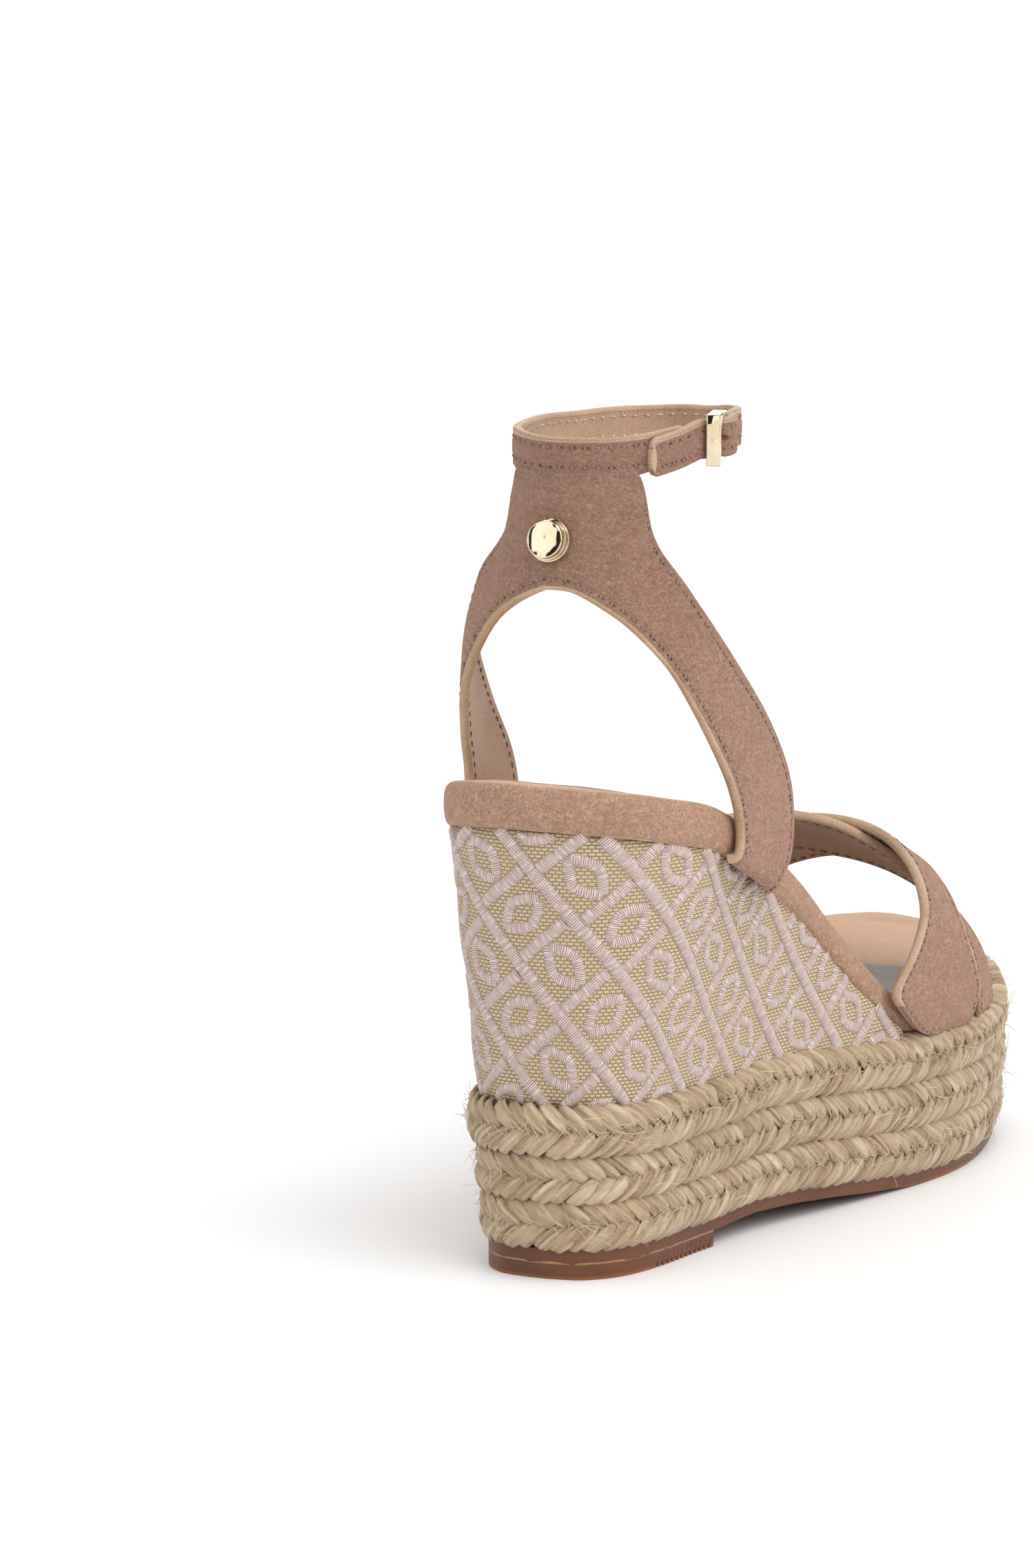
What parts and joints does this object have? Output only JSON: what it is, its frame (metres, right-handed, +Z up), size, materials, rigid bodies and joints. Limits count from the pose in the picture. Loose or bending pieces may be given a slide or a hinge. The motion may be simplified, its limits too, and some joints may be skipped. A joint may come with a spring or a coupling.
{
  "type": "wedge sandal",
  "caption": "Right-foot platform wedge sandal: braided jute sole edge, embroidered canvas wedge, crossed vamp straps, suede heel counter and buckled ankle strap.",
  "frame": {"origin": "middle of the heel lift's ground face, under the wearer's heel", "axes": "+X towards the outer (lateral) side, +Y towards the toe, +Z up"},
  "size_m": [0.0875, 0.228, 0.1928],
  "materials": {
    "rubber": "caramel brown moulded rubber",
    "jute": "plaited natural jute braid",
    "core": "light cork and resin core",
    "canvas": "sand canvas with raised pale pink satin-stitch bands",
    "steel": "spring steel strip",
    "board": "pressed fibre board",
    "foam": "cushion foam",
    "suede": "rose-tan suede, short nap",
    "lining": "smooth tan leather",
    "sock": "smooth grey-taupe leather",
    "gold": "polished pale gold plating"
  },
  "bodies": {
    "root": {"heel_lift": "rubber", "outsole": "rubber", "braid_lower": "jute", "braid_middle": "jute", "braid_upper": "jute", "platform_core": "core", "wedge_core": "core", "wedge_cover": "canvas", "shank": "steel", "insole_board": "board", "footbed_foam": "foam", "footbed_cover": "suede", "sock_lining": "sock", "vamp_strap_upper": "suede", "vamp_strap_upper_lining": "lining", "vamp_strap_lower": "suede", "vamp_strap_lower_lining": "lining"},
    "collar": {"heel_counter": "suede", "heel_counter_lining": "lining", "stud_cap": "gold", "stud_rivet": "gold", "ankle_strap": "suede", "ankle_strap_lining": "lining", "buckle_loop": "suede", "strap_tail": "suede"},
    "buckle": {"buckle_frame": "gold"},
    "prong": {"buckle_prong": "gold"}
  },
  "joints": [
    {"name": "collar_flex", "type": "hinge", "parent": "root", "child": "collar", "pos_m": [0, 0.027, 0.088], "axis": [1, 0, 0], "range_deg": [-25, 10], "stiffness_Nm_per_rad": 1},
    {"name": "buckle_swing", "type": "hinge", "parent": "collar", "child": "buckle", "pos_m": [0.022, 0.029, 0.187], "axis": [0, 0, 1], "range_deg": [0, 8]},
    {"name": "prong_swing", "type": "hinge", "parent": "buckle", "child": "prong", "pos_m": [0.022, 0.029, 0.187], "axis": [0, 0, 1], "range_deg": [0, 4]}
  ]
}
